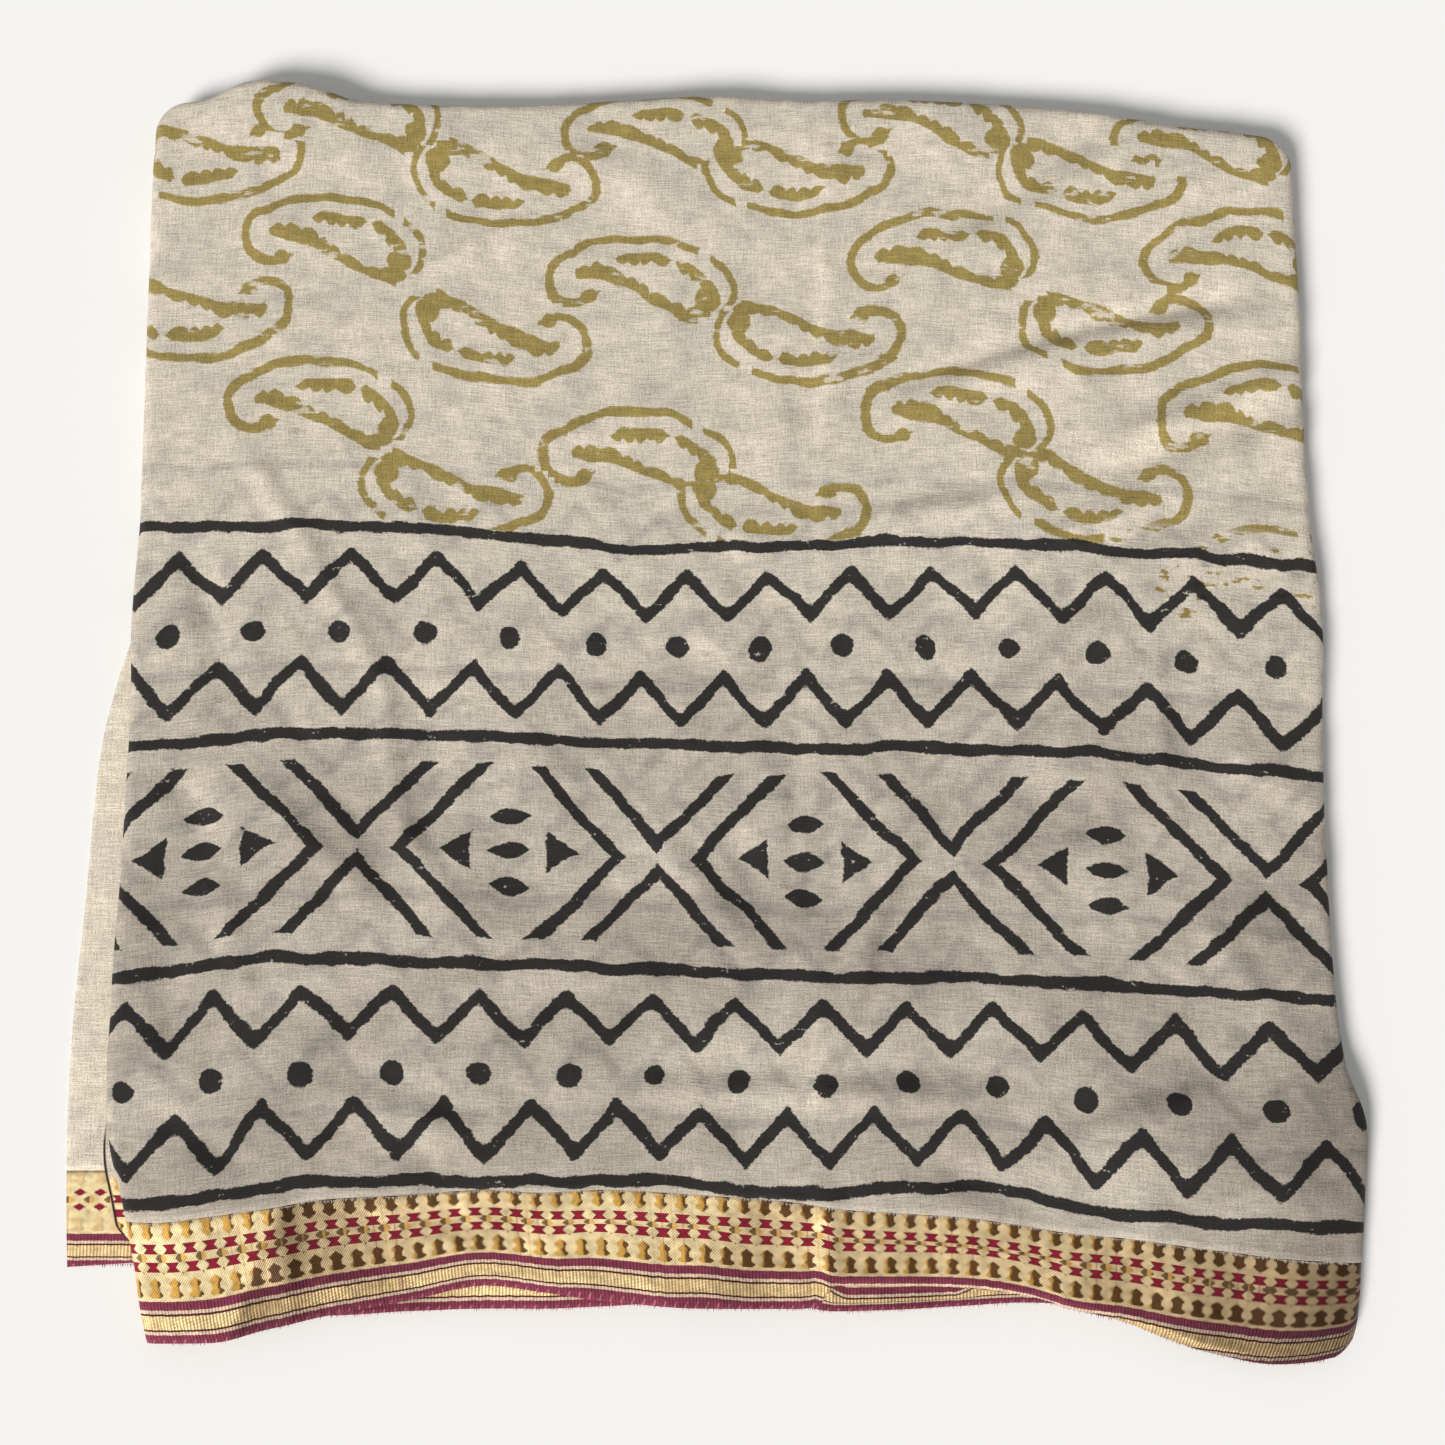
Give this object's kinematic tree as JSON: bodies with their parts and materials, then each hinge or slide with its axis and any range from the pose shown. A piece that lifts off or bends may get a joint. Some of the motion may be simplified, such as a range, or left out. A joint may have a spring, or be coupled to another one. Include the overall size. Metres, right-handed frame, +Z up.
{
  "type": "folded cotton tube skirt with a woven border",
  "caption": "Tube skirt of sheer printed cotton, folded flat into a square packet, its woven gold and crimson border stepped along the front.",
  "frame": {"origin": "on the ground, under the middle of the folded packet's box", "axes": "+Z up through the layers, -Y to the hem with the woven border, +X to the right as seen from the hem"},
  "size_m": [0.4764, 0.4907, 0.0148],
  "materials": {
    "printed_cotton": "sheer plain weave cotton, matt, printed by hand with olive paisleys and black bands",
    "woven_border": "gold thread and crimson cotton, woven in small figures and ribbed stripes, with a soft metal sheen",
    "plain_cotton": "the cotton's wrong side, matt and unprinted",
    "border_wrong_side": "wrong side of the woven border, paler, with small crimson diamonds",
    "folded_cotton": "edges and folds of the hidden layers of the same cotton"
  },
  "bodies": {
    "root": {"front_panel": "printed_cotton", "front_border": "woven_border", "second_border": "woven_border", "third_border": "woven_border", "under_panel": "plain_cotton", "under_border": "border_wrong_side", "folded_core": "folded_cotton"}
  },
  "joints": []
}
